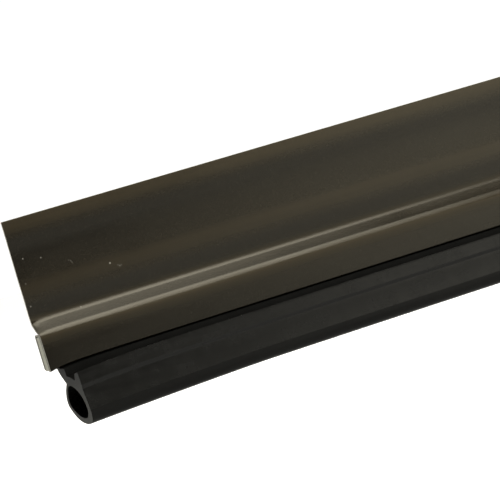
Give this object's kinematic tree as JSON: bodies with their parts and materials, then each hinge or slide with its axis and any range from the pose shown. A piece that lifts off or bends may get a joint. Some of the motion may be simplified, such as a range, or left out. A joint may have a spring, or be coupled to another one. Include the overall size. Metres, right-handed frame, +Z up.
{
  "type": "door sweep",
  "caption": "Surface-mounted door bottom sweep: bent metal carrier with slotted flange gripping a hollow vinyl bulb seal with an upright lip.",
  "frame": {"origin": "On the door face, at the middle of the length, on the line of the screw slots. The flange's back lies on this plane.", "axes": "+X runs along the sweep from its left end to its right end as seen from in front, +Y points from the sweep into the door, +Z is up"},
  "size_m": [0.9144, 0.0247, 0.0531],
  "materials": {
    "carrier": "semi-gloss dark bronze paint on rolled aluminium strip",
    "seal_tail": "matte light grey rigid vinyl",
    "seal": "satin black flexible vinyl",
    "screws": "dark bronze coated steel"
  },
  "bodies": {
    "screws": {"screw_1": "screws", "screw_2": "screws", "screw_3": "screws", "screw_4": "screws"},
    "carrier": {"carrier": "carrier", "seal_tail": "seal_tail", "seal_neck": "seal"},
    "seal": {"seal_bulb": "seal"}
  },
  "joints": [
    {"name": "height_adjust", "type": "slide", "parent": "screws", "child": "carrier", "axis": [0, 0, 1], "range_m": [-0.0042, 0.0042]},
    {"name": "seal_flex", "type": "hinge", "parent": "carrier", "child": "seal", "pos_m": [0, -0.0022, -0.0269], "axis": [1, 0, 0], "range_deg": [-22, 18], "stiffness_Nm_per_rad": 0.8}
  ]
}
